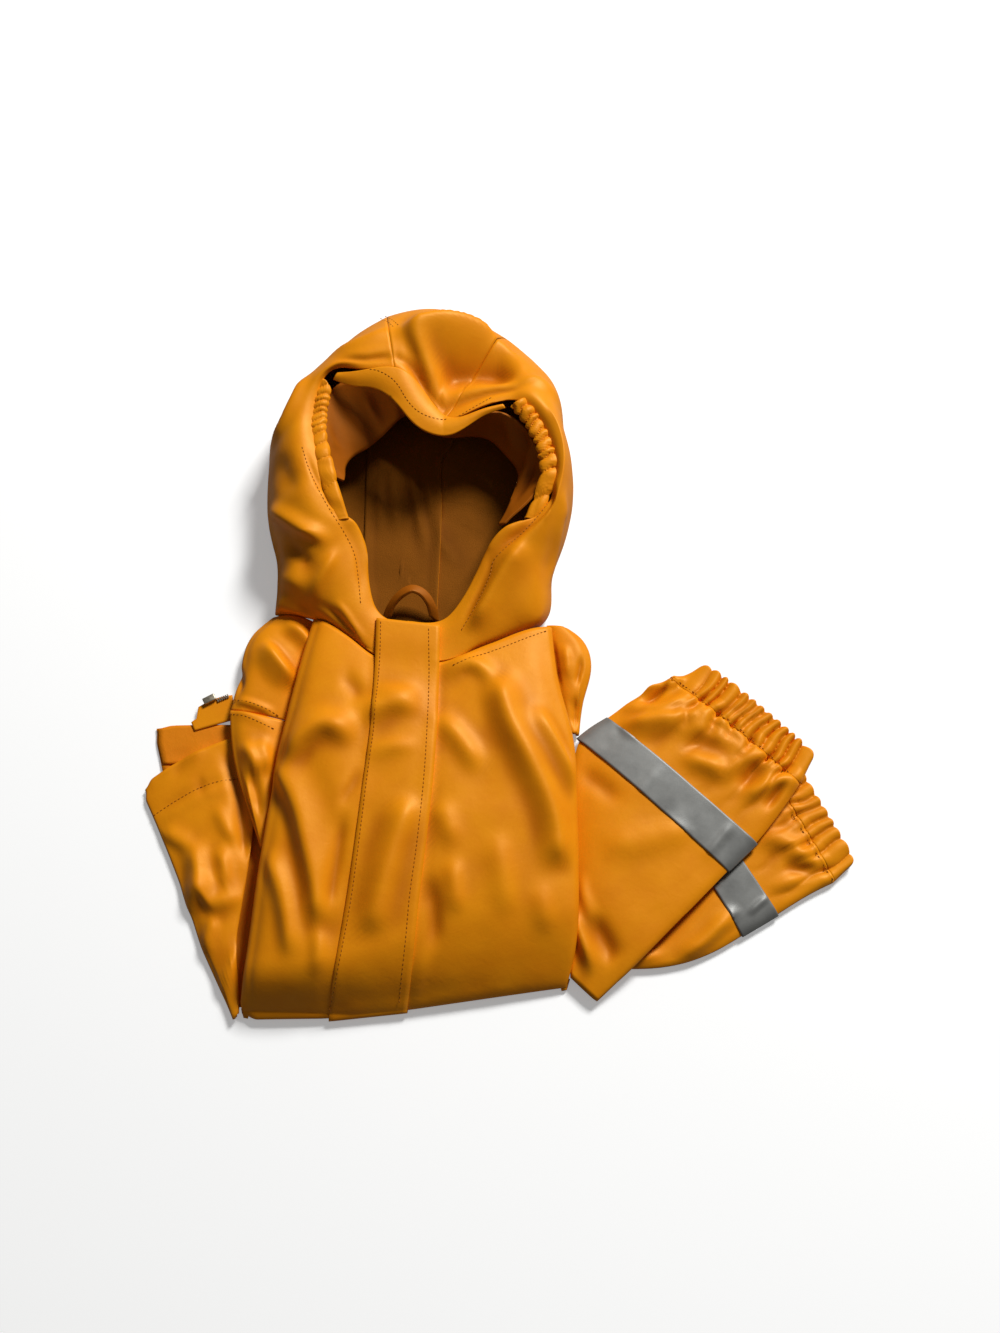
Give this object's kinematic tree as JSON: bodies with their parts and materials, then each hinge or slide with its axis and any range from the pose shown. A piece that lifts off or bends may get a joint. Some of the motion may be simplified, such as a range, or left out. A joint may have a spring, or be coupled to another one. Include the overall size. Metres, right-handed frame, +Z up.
{
  "type": "hooded rain jacket",
  "caption": "Child's hooded rain jacket in coated cloth with reflective sleeve bands, folded and lying flat on its back.",
  "frame": {"origin": "centre of the base, on the surface that the folded jacket lies on", "axes": "+Z up out of the surface, +Y from the bottom fold to the top of the hood, +X to the viewer's right, which is the wearer's left"},
  "size_m": [0.56, 0.5996, 0.072],
  "materials": {
    "coated_cloth": "semi-gloss coated knit",
    "hood_facing_cloth": "semi-gloss coated knit",
    "reflective_tape": "fine glass-bead tape",
    "zip_hardware": "moulded"
  },
  "bodies": {
    "root": {"right_front": "coated_cloth", "left_front": "coated_cloth", "storm_flap": "coated_cloth", "folded_layers": "coated_cloth", "lower_fronts": "coated_cloth", "lower_front_hem": "coated_cloth", "lower_back": "coated_cloth", "zip_tape_end": "coated_cloth", "zip_end_box": "zip_hardware", "right_shoulder": "coated_cloth", "right_sleeve_head": "coated_cloth", "left_sleeve_head": "coated_cloth", "left_cuff": "coated_cloth", "left_sleeve": "coated_cloth", "left_reflective_band": "reflective_tape", "right_cuff": "coated_cloth", "right_sleeve": "coated_cloth", "right_reflective_band": "reflective_tape", "hood_left_panel": "coated_cloth", "hood_right_panel": "coated_cloth", "hood_centre_panel": "coated_cloth", "hood_facing": "hood_facing_cloth", "hood_brim": "coated_cloth", "hood_casing_left": "coated_cloth", "hood_casing_right": "coated_cloth", "hanger_loop": "coated_cloth"}
  },
  "joints": []
}
